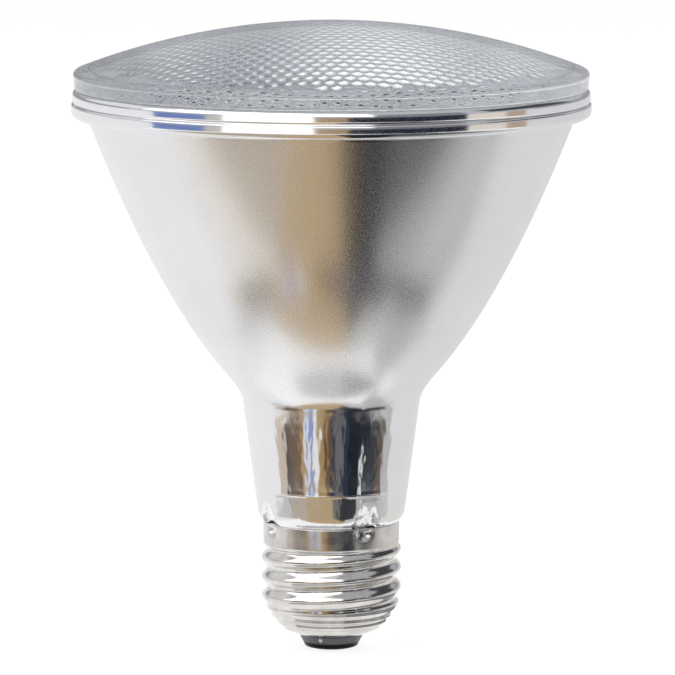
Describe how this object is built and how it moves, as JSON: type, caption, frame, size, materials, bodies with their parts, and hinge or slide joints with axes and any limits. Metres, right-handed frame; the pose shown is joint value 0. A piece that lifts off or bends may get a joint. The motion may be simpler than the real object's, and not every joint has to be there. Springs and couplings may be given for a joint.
{
  "type": "par spotlight bulb",
  "caption": "Reflector spotlight bulb with a domed stippled glass lens, a mirrored glass bowl and long neck, a halogen capsule inside and a screw base.",
  "frame": {"origin": "centre contact's lowest face, on the lamp's axis", "axes": "+Z along the lamp's axis from the base towards the lens; the two pins of the capsule lie along X; the picture looks along +Y"},
  "size_m": [0.0966, 0.0964, 0.1176],
  "materials": {
    "lens_glass": "clear pressed glass, polished outside, lenslets inside",
    "mirrored_glass": "glass with a mirror coat inside, satin on the bowl and glossy on the neck",
    "cement": "cured cement",
    "nickel_plate": "polished nickel plate",
    "black_glass": "glossy black glass",
    "contact_metal": "tinned brass",
    "solder": "dull solder",
    "quartz": "clear quartz",
    "tungsten": "drawn tungsten wire",
    "foil": "thin molybdenum foil",
    "steel": "bright steel sheet",
    "copper_wire": "drawn copper wire",
    "sleeving": "woven glass sleeving"
  },
  "bodies": {
    "root": {"lens": "lens_glass", "lens_bond": "cement", "reflector": "mirrored_glass", "screw_shell": "nickel_plate", "base_insulator": "black_glass", "solder_bead": "solder", "contact_eyelet": "contact_metal", "contact_solder": "solder", "capsule": "quartz", "filament": "tungsten", "filament_lead_low": "tungsten", "filament_lead_high": "tungsten", "foil_left": "foil", "foil_right": "foil", "pin_left": "steel", "pin_right": "steel", "capsule_clip": "steel", "ferrule_left": "contact_metal", "ferrule_right": "contact_metal", "side_lead": "copper_wire", "centre_lead_upper": "copper_wire", "fuse_wire": "solder", "centre_lead_lower": "copper_wire", "fuse_sleeve": "sleeving"}
  },
  "joints": []
}
